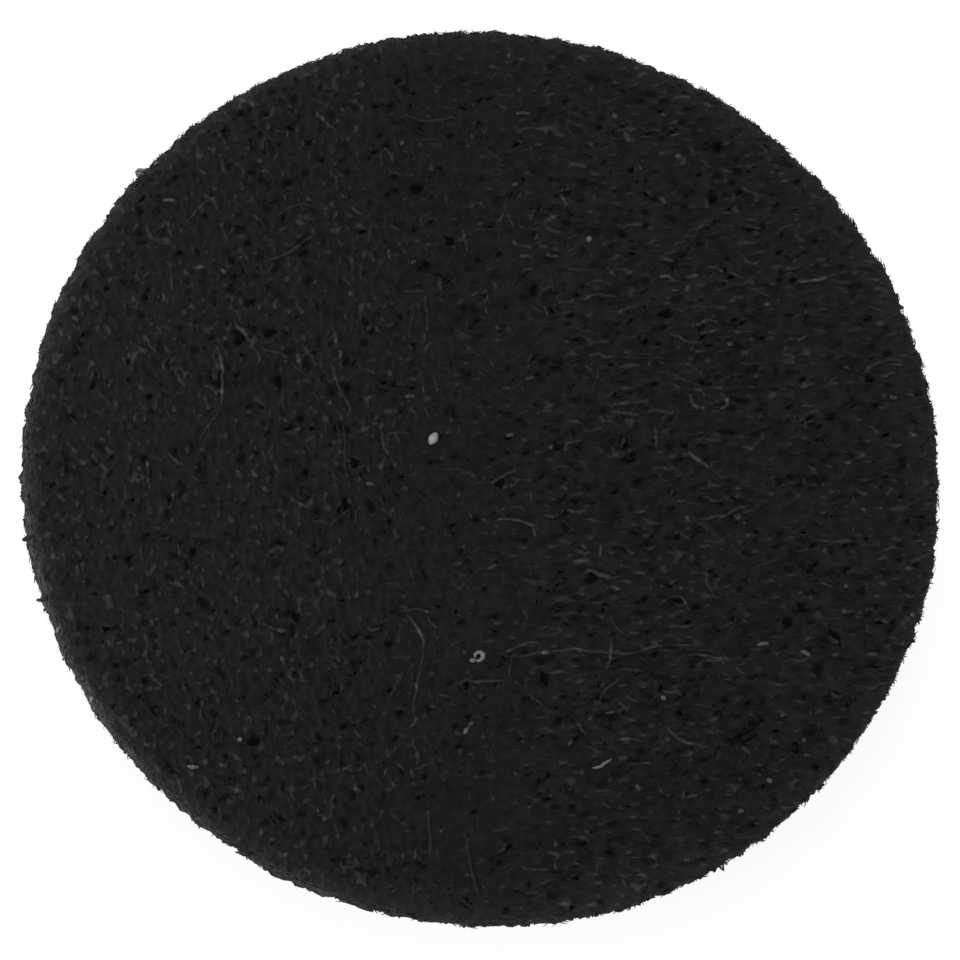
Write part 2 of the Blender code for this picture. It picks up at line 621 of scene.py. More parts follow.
def swell(point, normal):
    """How far the felt stands out at a point of the plain solid."""
    wads = noise.noise(point / WAD_SIZE) * WAD_SWELL
    clumps = noise.noise(point / CLUMP_SIZE) * CLUMP_SWELL
    if normal.z < -WALL_TILT:
        return -abs(wads + clumps)
    layered = Vector((point.x, point.y, point.z * LAYER_FLATTEN)) / (2 * CLUMP_SIZE)
    upright = Vector((point.x, point.y, point.z * CUT_UPRIGHT)) / CUT_SIZE
    cut = noise.noise(layered) * LAYER_SWELL + noise.noise(upright) * CUT_SWELL
    sideways = min(1.0, max(0.0, 1.0 - normal.z))
    return wads + clumps * (1 - sideways) + cut * sideways


flat_places = [v.co.copy() for v in body_mesh.vertices]
flat_normals = [v.normal.copy() for v in body_mesh.vertices]
for vertex, place, normal in zip(body_mesh.vertices, flat_places, flat_normals):
    vertex.co = place + normal * swell(place, normal)
body_mesh.update()
print("wads and clumps swell up to", round((WAD_SWELL + CLUMP_SWELL) / MM, 3), "mm either way")

# %% [markdown]
# The fibres will lie on this skin, so it is kept as it is now, before the pinholes: a fibre
# spans a pinhole and doesn't dip into it. A tree of its faces finds the nearest spot on it.

# %% Keep the skin for the fibres
skin = bmesh.new()
skin.from_mesh(body_mesh)
felt_skin = BVHTree.FromBMesh(skin)
print("skin of", len(skin.faces), "faces")
skin.free()

# %% [markdown]
# ## Pinholes and pits
# The small black dots of the photo are pinholes, where a needle went in or the mat is open. A
# hole could be cut into the mesh, but sinking the points around it keeps the body closed and
# gives the soft slope that felt has. The points are also painted darker, because little light
# gets down there. A tree of all the points finds those near a pinhole quickly.

# %% Make a way to sink a pit
PIT_STEP = 0.3

point_tree = kdtree.KDTree(count)
for index, place in enumerate(flat_places):
    point_tree.insert(place, index)
point_tree.balance()
sunk = np.zeros(count)
dark = np.zeros(count)
pinholes = []


def sink(place, end, radius, depth, darkness):
    """Press a rounded pit into the body along the line from place to end."""
    line = end - place
    steps = 1 + int(line.length / (PIT_STEP * radius))
    for step in range(steps + 1):
        middle = place + line * (step / steps)
        pinholes.append((middle, radius / 2))
        for _, other, distance in point_tree.find_range(middle, radius):
            share = (1 - (distance / radius) ** 2) ** 2
            sunk[other] = max(sunk[other], share * depth)
            dark[other] = max(dark[other], share * darkness)


print("ready to sink pits among", count, "points")

# %% [markdown]
# There are far too many small pinholes to place by hand, so they are seeded random points of
# each side. Small ones are much commoner than large ones, which is what squaring a random
# number gives.

# %% Sink the pinholes
PINHOLE_SEED = 7
UPPER_PINHOLES = 620
UNDER_PINHOLES = 700
WALL_PINHOLES = 350
PINHOLE_RADIUS = (0.18 * MM, 0.31 * MM)
PINHOLE_DEPTH = (0.12 * MM, 0.40 * MM)
PINHOLE_DARK = 0.5
FACE_TILT = 0.9

rng = np.random.default_rng(PINHOLE_SEED)
tilt = np.array([normal.z for normal in flat_normals])
sides = {
    "upper": (np.flatnonzero(tilt > FACE_TILT), UPPER_PINHOLES),
    "under": (np.flatnonzero(tilt < -FACE_TILT), UNDER_PINHOLES),
    "wall": (np.flatnonzero(abs(tilt) < WALL_TILT), WALL_PINHOLES),
}
for points, how_many in sides.values():
    for index in rng.choice(points, how_many, replace=False):
        radius = PINHOLE_RADIUS[0] + (PINHOLE_RADIUS[1] - PINHOLE_RADIUS[0]) * rng.random() ** 2
        depth = PINHOLE_DEPTH[0] + (PINHOLE_DEPTH[1] - PINHOLE_DEPTH[0]) * rng.random()
        place = flat_places[index]
        darkness = PINHOLE_DARK + (1 - PINHOLE_DARK) * depth / PINHOLE_DEPTH[1]
        sink(place, place.copy(), radius, depth, darkness)
print("pinholes:", {side: how_many for side, (_, how_many) in sides.items()})

# %% [markdown]
# Some pits are large enough to be told apart in the photo, and those are set one by one. Each
# has the two spots in the photo that it runs between, its width in pixels and its depth in
# millimetres. The sunk line stops short of both spots, because a pit's round ends add to it.

# %% Sink the larger pits
PIT_INSET = 0.3
PIT_RADIUS = 0.55
PIT_DARK = 0.7
LARGE_PITS = {
    "long hollow": ((757, 724), (738, 748), 20, 0.22),
    "left hollow": ((378, 381), (396, 385), 15, 0.30),
    "top notch": ((718, 143), (717, 151), 11, 0.40),
    "below the notch": ((708, 200), (717, 198), 9, 0.35),
    "upper middle": ((425, 262), (430, 272), 14, 0.38),
    "upper left": ((412, 191), (422, 187), 11, 0.35),
    "middle top": ((533, 283), (534, 296), 9, 0.38),
    "slanted": ((444, 236), (454, 245), 9, 0.32),
    "soft, top": ((468, 306), (480, 314), 14, 0.15),
    "right of the top": ((661, 312), (670, 314), 12, 0.40),
    "by the short curl": ((236, 342), (246, 335), 12, 0.35),
    "by the fork": ((264, 336), (276, 328), 10, 0.32),
    "centre left": ((340, 510), (348, 501), 13, 0.38),
    "above it": ((349, 463), (359, 463), 10, 0.30),
    "under the bright hair": ((496, 487), (505, 480), 11, 0.38),
    "centre right": ((553, 449), (562, 446), 11, 0.34),
    "right of it": ((626, 458), (635, 456), 13, 0.40),
    "lower right": ((786, 626), (789, 619), 11, 0.42),
    "its neighbour": ((798, 610), (803, 604), 11, 0.25),
    "under the dot": ((247, 741), (258, 742), 8, 0.42),
    "right side": ((829, 628), (842, 648), 9, 0.30),
    "far right": ((868, 376), (872, 384), 9, 0.38),
    "left side": ((247, 306), (252, 299), 9, 0.36),
    "top left": ((246, 172), (254, 173), 8, 0.34),
    "top left, slanted": ((284, 186), (291, 180), 8, 0.34),
    "under the light curl": ((586, 580), (596, 578), 9, 0.40),
    "lower middle": ((598, 688), (600, 684), 9, 0.32),
    "by the long hair": ((541, 672), (546, 686), 11, 0.26),
    "lower left": ((293, 612), (297, 622), 12, 0.28),
    "under the lint ring": ((463, 686), (469, 686), 8, 0.32),
}

for start, end, width, depth in LARGE_PITS.values():
    a, b = under_pixel(*start), under_pixel(*end)
    radius = photo_length(PIT_RADIUS * width)
    sink(a.lerp(b, PIT_INSET), b.lerp(a, PIT_INSET), radius, depth * MM, PIT_DARK + depth)
print("larger pits:", len(LARGE_PITS))

# %% [markdown]
# The cut wall is painted paler than the face. Part of that is its fibres, which stand on end and
# fray, and part is painted light: the sheen that the wall shows edge on, and the light that the
# white ground throws up at it, so it is painted paler towards the foot. It is painted palest at
# the left, as painted light from a low lamp on that side. This could be one more noise in the
# finish, but the mesh knows best what is wall: the tilt of each point gives the shade that is
# painted there, together with the dark of the pits. The underside is a face again, as dark as
# the upper one.

# %% Paint the shade and finish the body
PINHOLE_SHADE = 0.42
# The wall's paleness: its fuzz and painted light, more towards the foot and the left:
RIM_LIGHTER = 0.85
FOOT_PAINTED_LIGHT = 0.9
LEFT_WALL_PAINTED_LIGHT = 0.65
LEFT_WALL_IN_PHOTO = math.radians(200)
LEFT_WALL_FADE = 7
RIM_FADE = 1.1 * MM
PALER_CURVE = 0.9


def left_wall_painted_light(places):
    """Painted light: how much lighter the wall is painted towards the left, for rows of places."""
    towards_left = np.array(level(on_pad(LEFT_WALL_IN_PHOTO)))[:2]
    side = places[:, :2] @ towards_left / np.maximum(np.hypot(places[:, 0], places[:, 1]), 1e-9)
    below_rim = np.clip((TOP - places[:, 2]) / RIM_FADE, 0.0, 1.0) ** 2
    return 1 + LEFT_WALL_PAINTED_LIGHT * below_rim * np.clip(side, 0.0, 1.0) ** LEFT_WALL_FADE


def wall_fuzz_and_painted_light(places, sideways):
    """Paleness for fuzz and painted light at rows of places, 1 on the face and most on the wall.
    """
    paler = RIM_LIGHTER + FOOT_PAINTED_LIGHT * (1 - places[:, 2] / TOP)
    return (1 + sideways ** PALER_CURVE * paler) * (1 + sideways * (left_wall_painted_light(places) - 1))


places = np.array(flat_places)
sideways = np.clip(1.0 - tilt, 0.0, 1.0)
sideways[tilt < -FACE_TILT] = 0.0
fuzz_and_painted_light = wall_fuzz_and_painted_light(places, sideways)
for index, vertex in enumerate(body_mesh.vertices):
    vertex.co -= flat_normals[index] * sunk[index]
shade = body_mesh.attributes.new("shade", "FLOAT", "POINT")
shade.data.foreach_set("value", (1.0 - PINHOLE_SHADE * dark) * fuzz_and_painted_light)
wall = body_mesh.attributes.new("wall", "FLOAT", "POINT")
wall.data.foreach_set("value", sideways)
body_mesh.update()

felt_body = new_piece("felt_body", body_mesh, body_felt)
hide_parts("felt_pad")
print("shade in the darkest pit:", round(float(1 - PINHOLE_SHADE * dark.max()), 2),
      "and on the palest wall:", round(float(fuzz_and_painted_light.max()), 2))

# %% [markdown]
# ## Fibres
# A hair system would draw fibres quickly, but hair is not a mesh, and the pad should be solid
# from every side. So each fibre is a thin closed tube. It is made in two steps, and the first
# is its path: a walk over the skin of the felt, turning a little at each step. Its middle is
# then lifted a little out of the felt, and its ends dive in, as they do in a real mat.

# %% Walk a fibre's path over the felt
SUNK_END = 0.05 * MM
ARCH_FULLNESS = 0.7


def walk(starts, headings, lengths, bends, steps):
    """Paths over the felt's skin: points and normals, one row for each fibre."""
    points = np.empty((len(starts), steps + 1, 3))
    normals = np.empty_like(points)
    for row, (start, heading, length, bend) in enumerate(zip(starts, headings, lengths, bends)):
        here = Vector(start)
        heading = Vector(heading)
        for step in range(steps + 1):
            here, normal, _, _ = felt_skin.find_nearest(here)
            points[row, step] = here
            normals[row, step] = normal
            heading.rotate(Quaternion(normal, bend / steps))
            heading = (heading - normal * heading.dot(normal)).normalized()
            here = here + heading * (length / steps)
    return points, normals


def arch(paths, normals, lift, sunk_end=SUNK_END):
    """Lift each path off the skin in the middle and sink its ends."""
    share = np.sin(np.linspace(0, math.pi, paths.shape[1])) ** ARCH_FULLNESS
    height = lift[:, None] * share - sunk_end * (1 - share)
    return paths + normals * height[..., None]


print("a fibre's ends sink", round(SUNK_END / MM, 3), "mm")

# %% [markdown]
# The second step sweeps a tapered tube along the path. Four sides are enough for something
# thinner than a fifth of a millimetre. Blender's curve bevel would sweep it too, but thousands
# of curves are slow, while numpy places the rings of all the tubes of a layer at once.
#
# A fibre that is part of the mat is flattened, and its shade is painted to fade at its sides
# and ends into the shade of the felt around it, so that no hard edge gives the tube away. A
# flat one is also shaded flat, because smooth shading would draw a dark line along its edges.

# %% Sweep a tube along each path
TUBE_SIDES = 4
FLAT_BELOW = 0.4
TUBE_FULLNESS = 0.5
WIDTH_WAVER = 0.4
WAVER_SEED = 5


def unit(vectors):
    """Vectors of length one."""
    return vectors / np.maximum(np.linalg.norm(vectors, axis=-1, keepdims=True), 1e-12)


def tube_faces(rows, stations):
    """Corners of the faces of so many closed tubes, each with so many rings."""
    faces = []
    for station in range(stations - 1):
        for side in range(TUBE_SIDES):
            a = station * TUBE_SIDES + side
            b = station * TUBE_SIDES + (side + 1) % TUBE_SIDES
            faces.append((a, b, b + TUBE_SIDES, a + TUBE_SIDES))
    per_fibre = stations * TUBE_SIDES
    faces += [tuple(reversed(range(TUBE_SIDES))), tuple(range(per_fibre - TUBE_SIDES, per_fibre))]
    starts = np.arange(rows)[:, None, None] * per_fibre
    return (starts + np.array(faces)).reshape(-1, TUBE_SIDES).tolist()


def sweep(name, paths, normals, widths, shades, flatten=1.0, taper=0.45, soft=0.0, waver=0.0,
          finish=fibre_felt, around=1.0):
    """One piece holding a closed, tapered tube along each path; a soft one fades into the felt."""
    rows, stations, _ = paths.shape
    along = unit(np.gradient(paths, axis=1))
    across = unit(np.cross(along, normals))
    outward = np.cross(across, along)
    share = np.sin(np.linspace(0, math.pi, stations)) ** TUBE_FULLNESS
    uneven = np.random.default_rng(WAVER_SEED).normal(0.0, waver, (rows, stations))
    around = np.broadcast_to(around, rows)
    radii = widths[:, None] / 2 * (taper + (1 - taper) * share) * np.exp(WIDTH_WAVER * uneven)
    corners = []
    tones = []
    for side in range(TUBE_SIDES):
        angle = 2 * math.pi * side / TUBE_SIDES
        offset = across * math.cos(angle) + outward * (math.sin(angle) * flatten)
        corners.append(paths + offset * radii[..., None])
        fade = 1 - soft * (1 - share * max(0.0, math.sin(angle)))
        tones.append(around[:, None] + (shades - around)[:, None] * fade * np.exp(uneven))
    places = np.stack(corners, axis=2).reshape(-1, 3)
    mesh = bpy.data.meshes.new(name)
    mesh.from_pydata(places.tolist(), [], tube_faces(rows, stations))
    tone = mesh.attributes.new("shade", "FLOAT", "POINT")
    tone.data.foreach_set("value", np.stack(tones, axis=2).ravel())
    new_piece(name, mesh, finish)
    if flatten < FLAT_BELOW:
        mesh.shade_flat()
    print(name, "has", rows, "fibres and", len(mesh.polygons) * 2, "triangles")


print("tubes of", TUBE_SIDES, "sides")

# %% [markdown]
# ## Which way the fibres lie
# The mat isn't equally tangled all over. To the right of the photo most fibres lie level, with
# the machine that laid them. To the left they lie every way, a little more of them upright. So
# a fibre's direction is drawn around a mean that turns across the face, with a spread that
# narrows to the right.

# %% Draw the directions of the mat
UPRIGHT_IN_PHOTO = math.radians(105)
LEVEL_SPREAD = math.radians(24)
TANGLED_SPREAD = math.radians(42)
LEVEL_IN_MIDDLE = 0.55
LEVEL_GAIN = 0.75
LEVEL_LEAST = 0.08
MOSTLY_LEVEL = 0.6


def mat_directions(rng, starts):
    """Directions on the pad for fibres of the upper face."""
    photo_right = np.array(level(on_pad(0.0)))[:2]
    across = starts[:, :2] @ photo_right / (pad_high.x - pad_low.x) * 2
    level_share = np.clip(LEVEL_IN_MIDDLE + LEVEL_GAIN * across, LEVEL_LEAST, 1.0)
    mean = np.where(rng.random(len(starts)) < level_share, 0.0, UPRIGHT_IN_PHOTO)
    spread_width = np.where(level_share > MOSTLY_LEVEL, LEVEL_SPREAD, TANGLED_SPREAD)
    photo_angles = mean + rng.normal(0.0, 1.0, len(starts)) * spread_width
    angles = on_pad(photo_angles) + math.pi * rng.integers(0, 2, len(starts))
    return np.column_stack([np.cos(angles), np.sin(angles), np.zeros(len(starts))])


print("spread of the level fibres:", round(math.degrees(LEVEL_SPREAD)), "degrees")

# %% [markdown]
# A pinhole that thousands of fibres crossed would be gone. So a fibre that crosses one is left
# out, apart from a few, which bridge it as they do on the real pad.

# %% Leave the pinholes open
PINHOLE_COVER = 0.25

pinhole_tree = kdtree.KDTree(len(pinholes))
for index, (place, _) in enumerate(pinholes):
    pinhole_tree.insert(place, index)
pinhole_tree.balance()


def leaves_pinholes_open(rng, paths):
    """True for each fibre that doesn't cross a pinhole, and for a few that do."""
    keep = np.ones(len(paths), bool)
    for row, path in enumerate(paths):
        for point in path[1:-1]:
            _, index, distance = pinhole_tree.find(point)
            if distance < pinholes[index][1]:
                keep[row] = rng.random() < PINHOLE_COVER
                break
    return keep


print("of the fibres over a pinhole", PINHOLE_COVER, "stay")

# %% [markdown]
# The upper face gets four layers. Broad, nearly black fibres make the mat. Short pale ones are
# the strands that catch the light, their paleness a painted highlight, and short dark ones are
# painted shadow in the gaps between them. A few long fine hairs, painted a little lighter in the
# same way, lie over all. The pale layer could be sprinkled with a noise in the finish alone, but
# then no strand would stand up from the felt at a low angle.

# %% Lay the fibres of the upper face
FACE_SEED = 11
EDGE_INSET = 0.3 * MM
FIBRE_BEND = 0.7


def disc_points(rng, how_many, inset, height):
    """Random points spread evenly inside the outline."""
    angles = rng.random(how_many) * 2 * math.pi
    radii = np.sqrt(rng.random(how_many)) * (outline_radius(angles) - inset)
    heights = np.full(how_many, height)
    return np.column_stack([radii * np.cos(angles), radii * np.sin(angles), heights])


def about(rng, middle, spread_by, how_many):
    """Random sizes around a middle one, as often half of it as twice it."""
    return middle * np.exp(rng.normal(0, spread_by, how_many))


def face_fibres(name, seed, how_many, length, width, shade, lift, steps, flatten, soft):
    """A layer of fibres on the upper face.

    Length, width and shade are each a middle value and its spread, and lift is a least height
    and how much may be added to it.
    """
    rng = np.random.default_rng(seed)
    starts = disc_points(rng, how_many, EDGE_INSET, TOP)
    lengths = about(rng, *length, how_many)
    bends = rng.normal(0, FIBRE_BEND, how_many)
    paths, normals = walk(starts, mat_directions(rng, starts), lengths, bends, steps)
    keep = leaves_pinholes_open(rng, paths)
    lifts = lift[0] + lift[1] * rng.random(how_many)
    widths = about(rng, *width, how_many)
    shades = about(rng, *shade, how_many)
    paths = arch(paths, normals, lifts)
    sweep(name, paths[keep], normals[keep], widths[keep], shades[keep], flatten, soft=soft)


face_fibres("mat_fibres", FACE_SEED, 5200, length=(0.60 * MM, 0.4), width=(0.19 * MM, 0.25),
            shade=(1.05, 0.16), lift=(0.0, 0.012 * MM), steps=3, flatten=0.18, soft=0.9)
# Painted highlight: short strands painted lighter than the mat.
face_fibres("painted_highlight_fibres", FACE_SEED + 1, 850, length=(0.42 * MM, 0.4), width=(0.17 * MM, 0.25),
            shade=(2.15, 0.28), lift=(0.0, 0.02 * MM), steps=4, flatten=0.24, soft=0.9)
# Painted shadow: short, nearly black flecks in the gaps.
face_fibres("painted_gap_shadows", FACE_SEED + 3, 280, length=(0.24 * MM, 0.3), width=(0.15 * MM, 0.25),
            shade=(0.3, 0.2), lift=(0.005 * MM, 0.01 * MM), steps=3, flatten=0.15, soft=0.5)
face_fibres("fine_hairs", FACE_SEED + 2, 150, length=(1.0 * MM, 0.4), width=(0.09 * MM, 0.2),
            shade=(1.55, 0.2), lift=(0.0, 0.02 * MM), steps=8, flatten=0.5, soft=0.8)

# %% [markdown]
# ## Stray hairs
# Some long hairs lie on top of the mat, where they were pulled loose. They catch the light, so
# they are what one notices first, and that light is painted into each as a lighter shade, a
# painted highlight. Random ones would look like felt, but not like this pad. So each is traced
# through a few marks in the photo, and its width in pixels and its shade against the felt stand
# before them.

# %% Mark the stray hairs
STRAY_HAIRS = {
    "forked": (2.6, 3.0, ((216, 345), (221, 357), (222, 370), (222, 385), (222, 398), (221, 410))),
    "forked, end": (2.2, 1.7, ((220, 410), (213, 420), (205, 430), (200, 441))),
    "fork": (3.0, 2.4, ((205, 385), (212, 388), (217, 396))),
    "crossing": (2.4, 2.2, ((330, 362), (335, 374), (339, 388), (347, 400), (351, 414))),
    "crossing, upper": (3.0, 2.4, ((334, 329), (336, 338), (336, 346))),
    "beside it": (3.2, 1.8, ((340, 350), (341, 360), (341, 371))),
    "upright, middle left": (2.4, 1.7, ((343, 424), (345, 440), (344, 458), (346, 474))),
    "rising": (2.8, 2.3, ((268, 261), (288, 254), (301, 244), (315, 235))),
    "bow": (2.2, 1.9, ((277, 216), (290, 208), (304, 204), (317, 209))),
    "low bow": (2.6, 2.2, ((262, 350), (275, 352), (289, 358))),
    "short curl": (3.4, 3.0, ((234, 325), (243, 331), (250, 342))),
    "rising, far left": (2.2, 2.2, ((187, 223), (196, 211), (205, 202), (217, 197))),
    "level, top": (2.4, 1.9, ((404, 114), (424, 121), (446, 119), (467, 116))),
    "level, under it": (2.2, 1.8, ((414, 141), (428, 140), (443, 140))),
    "level, left": (2.4, 1.9, ((400, 292), (414, 291), (429, 290))),
    "upright, by the hollow": (2.8, 1.9, ((425, 299), (427, 314), (428, 330))),
    "upright, top": (3.4, 2.2, ((437, 276), (440, 284), (441, 293))),
    "upright, short": (3.0, 2.0, ((463, 229), (465, 240), (468, 252))),
    "slanted, left": (2.8, 1.7, ((431, 372), (435, 382), (438, 393))),
    "hook": (3.0, 2.6, ((381, 424), (382, 437), (385, 447), (389, 456))),
    "hook, arm": (2.4, 2.0, ((383, 437), (395, 432), (410, 434))),
    "pale pair, upper": (3.0, 2.7, ((491, 483), (504, 476), (518, 469))),
    "pale pair, lower": (3.0, 2.6, ((503, 488), (514, 485), (520, 478))),
    "centre": (2.6, 3.1, ((493, 520), (508, 519), (523, 522), (539, 526))),
    "centre, arm": (2.2, 1.9, ((494, 518), (499, 511), (508, 507))),
    "level dashes": (3.6, 3.0, ((589, 356), (598, 354), (606, 357), (616, 355))),
    "thin level": (1.8, 1.6, ((616, 357), (640, 358), (668, 359), (694, 362))),
    "roof": (2.6, 2.5, ((583, 300), (594, 295), (605, 295), (620, 298))),
    "slanted, right": (2.8, 2.6, ((606, 266), (611, 272), (616, 277))),
    "wave": (2.6, 2.4, ((669, 334), (679, 338), (690, 342), (704, 342))),
    "upper pair": (2.8, 2.8, ((697, 325), (710, 320), (719, 324))),
    "upper pair, lower": (2.6, 2.5, ((700, 333), (711, 332), (722, 329))),
    "level, right": (3.2, 2.7, ((614, 405), (628, 403), (641, 402), (649, 400))),
    "level, right, lower": (3.2, 2.5, ((611, 411), (625, 413), (640, 415))),
    "far right": (2.6, 2.3, ((788, 338), (800, 339), (813, 334))),
    "far right bow": (3.4, 2.0, ((861, 376), (869, 368), (881, 361), (894, 359), (904, 361))),
    "far right, upper": (2.6, 2.3, ((799, 283), (814, 280), (827, 278), (835, 273))),
    "bright slant": (3.2, 3.9, ((688, 451), (694, 457), (701, 462), (708, 467))),
    "bright slant, end": (2.0, 2.0, ((708, 467), (716, 472), (724, 479))),
    "loop, bottom left": (2.8, 3.8, ((690, 394), (692, 402), (698, 407), (706, 408))),
    "loop, right": (3.4, 3.7, ((721, 393), (726, 399), (727, 405), (720, 409))),
    "loop, inner": (2.8, 2.7, ((695, 390), (700, 391), (706, 396))),
    "small cup": (2.6, 2.2, ((743, 256), (748, 262), (756, 263), (762, 258))),
    "upright, right": (3.0, 2.0, ((655, 424), (656, 438), (656, 450))),
    "rising, right": (2.8, 2.4, ((712, 517), (725, 515), (739, 508), (752, 505))),
    "falling bow": (2.4, 2.1, ((706, 571), (708, 584), (714, 594), (723, 602))),
    "arch": (2.6, 2.1, ((659, 606), (669, 598), (681, 597), (690, 611))),
    "upright, crossing": (2.8, 2.6, ((612, 640), (611, 655), (606, 670))),
    "long level": (2.4, 2.3, ((548, 651), (572, 649), (600, 652), (630, 653), (660, 646),
                              (702, 645))),
    "long level, bow": (2.4, 2.3, ((502, 653), (516, 648), (531, 642), (545, 646))),
    "long level, under": (2.2, 1.9, ((505, 656), (525, 656), (548, 651))),
    "level, lower": (2.6, 2.9, ((462, 680), (478, 681), (493, 681), (509, 680))),
    "upright, from the bow": (2.2, 1.9, ((513, 655), (510, 667), (508, 679))),
    "slanted, lower": (2.4, 2.3, ((599, 700), (605, 690), (613, 685), (621, 677))),
    "slanted, lower left": (2.4, 2.2, ((528, 693), (536, 701), (546, 709))),
    "slanted, bottom": (2.6, 2.3, ((574, 718), (580, 727), (587, 736))),
    "level, lower right": (2.6, 2.6, ((688, 655), (702, 655), (716, 658), (731, 659))),
    "sagging": (3.0, 2.8, ((667, 727), (676, 736), (687, 743), (699, 745), (711, 748))),
    "under it, level": (2.6, 2.2, ((618, 740), (631, 739), (642, 741))),
    "long upright": (2.8, 2.9, ((407, 611), (411, 620), (418, 628), (423, 638), (423, 652),
                                (421, 666))),
    "long upright, lower": (2.4, 2.3, ((421, 666), (418, 680), (415, 696), (413, 713))),
    "long upright, loop": (2.4, 2.4, ((407, 611), (414, 609), (422, 610), (430, 613))),
    "long upright, side": (2.4, 2.1, ((427, 616), (432, 624), (438, 628))),
    "long upright, end": (3.2, 2.2, ((412, 738), (415, 748), (418, 758), (417, 767))),
    "upright, bottom": (2.8, 2.2, ((428, 808), (429, 826), (431, 842), (430, 858))),
    "falling, bottom": (2.4, 2.0, ((468, 849), (470, 866), (475, 884), (481, 900))),
    "upright, far bottom": (2.4, 1.8, ((338, 740), (339, 752), (338, 766))),
    "falling, bottom left": (2.6, 2.0, ((333, 818), (337, 832), (341, 845))),
    "upright, far left": (2.6, 2.3, ((147, 459), (148, 475), (150, 490))),
    "falling, far left": (2.8, 2.5, ((167, 452), (175, 460), (185, 465))),
    "falling, lower left": (3.0, 2.3, ((149, 673), (156, 681), (164, 686))),
    "level, lower left": (3.0, 2.0, ((262, 624), (272, 628), (286, 630))),
    "pale curl": (3.4, 2.7, ((583, 576), (590, 570), (600, 575), (610, 578), (622, 576))),
    "level, middle": (2.8, 2.5, ((543, 515), (552, 516), (560, 515))),
    "level, middle right": (3.0, 2.4, ((567, 511), (577, 512), (587, 511))),
    "level, near the ring": (2.8, 2.2, ((438, 694), (445, 696), (452, 696))),
}

print("stray hairs marked:", len(STRAY_HAIRS))

# %% [markdown]
# Straight lines between the marks would give the hairs corners. A smooth curve that passes
# through every mark has none. The one used here follows only the nearest four marks at each
# spot, so a mark can be moved without disturbing the far end. It is cut into even steps. A ray
# from the camera through each step then finds the felt, also where the felt is the wall and
# not the face.

# %% Trace curves on the felt
FINE_STEPS = 12


def curve_through(marks, stations):
    """Points spread evenly along a smooth curve through marks in the photo."""
    marks = np.array(marks, float)
    ends = np.vstack([2 * marks[0] - marks[1], marks, 2 * marks[-1] - marks[-2]])
    fine = []
    for a, b, c, d in zip(ends[:-3], ends[1:-2], ends[2:-1], ends[3:]):
        for t in np.linspace(0, 1, FINE_STEPS, endpoint=False):
            fine.append(0.5 * (2 * b + (c - a) * t + (2 * a - 5 * b + 4 * c - d) * t ** 2
                               + (3 * b - a - 3 * c + d) * t ** 3))
    fine = np.array(fine + [marks[-1]])
    run = np.concatenate([[0], np.cumsum(np.linalg.norm(np.diff(fine, axis=0), axis=1))])
    even = np.linspace(0, run[-1], stations)
    return np.column_stack([np.interp(even, run, fine[:, axis]) for axis in range(2)])


def on_felt(x, y):
    """The place on the felt's skin that shows at a spot in the photo, and its normal."""
    below = under_pixel(x, y)
    place, normal, _, _ = felt_skin.ray_cast(camera_place, (below - camera_place).normalized())
    if place is None:
        place, normal, _, _ = felt_skin.find_nearest(below)
    return place, normal


def traced(marked, stations):
    """Paths and normals on the felt's skin for rows of marks in the photo."""
    points = np.empty((len(marked), stations, 3))
    normals = np.empty_like(points)
    for row, marks in enumerate(marked):
        for station, (x, y) in enumerate(curve_through(marks, stations)):
            points[row, station], normals[row, station] = on_felt(x, y)
    return points, normals


def widths_and_shades(table):
    """The widths on the pad and the shades of everything in a table of marks."""
    widths = photo_length(np.array([entry[0] for entry in table.values()]))
    return widths, np.array([entry[1] for entry in table.values()])


print("each curve is followed in", FINE_STEPS, "steps from mark to mark")

# %% [markdown]
# A traced hair that was perfectly even would look drawn on. So each gets a seeded waver, its
# width and shade waver too, and its lower half is faded into the felt.

# %% Lay the stray hairs
HAIR_SEED = 41
HAIR_WIDER = 1.4
HAIR_CONTRAST = 1.05
HAIR_STATIONS = 13
HAIR_LIFT = 0.04 * MM
HAIR_SUNK_END = 0.01 * MM
HAIR_WAVER = np.array([0.02, 0.02, 0.015]) * MM

widths, shades = widths_and_shades(STRAY_HAIRS)
paths, normals = traced([hair[2] for hair in STRAY_HAIRS.values()], HAIR_STATIONS)
rng = np.random.default_rng(HAIR_SEED)
paths = arch(paths, normals, np.full(len(paths), HAIR_LIFT), sunk_end=HAIR_SUNK_END)
paths += rng.normal(0, 1, paths.shape) * HAIR_WAVER
# Painted highlight: each hair's shade is lighter than the felt's.
sweep("stray_hairs", paths, normals, HAIR_WIDER * widths, 1 + HAIR_CONTRAST * (shades - 1),
      flatten=0.6, soft=0.5, waver=0.3)

# %% [markdown]
# ## The dark of the small pits
# A pit narrower than half a millimetre can't get as dark as in the photo from its shape alone:
# the body's faces are too coarse for its steep sides. Finer faces all over would cost a million
# triangles. Instead a flat, nearly black sheet of painted shadow lies in each of the small pits
# that were placed one by one.

# %% Darken the small pits
SMALL_PIT_IN_PHOTO = 14
PIT_SHADOW_WIDTH = 0.5
PIT_SHADOW_LIFT = 0.02 * MM
PIT_SHADOW_STATIONS = 5
PIT_SHADOW_SHADE = 0.12

small_pits = [pit for pit in LARGE_PITS.values() if pit[2] < SMALL_PIT_IN_PHOTO]
paths, normals = traced([(start, end) for start, end, _, _ in small_pits], PIT_SHADOW_STATIONS)
paths = arch(paths, normals, np.full(len(paths), PIT_SHADOW_LIFT), sunk_end=0.0)
widths = photo_length(PIT_SHADOW_WIDTH * np.array([pit[2] for pit in small_pits]))
shades = np.full(len(paths), PIT_SHADOW_SHADE)
# Painted shadow: a nearly black sheet in each small pit.
sweep("painted_pit_shadows", paths, normals, widths, shades, flatten=0.15, soft=0.15)

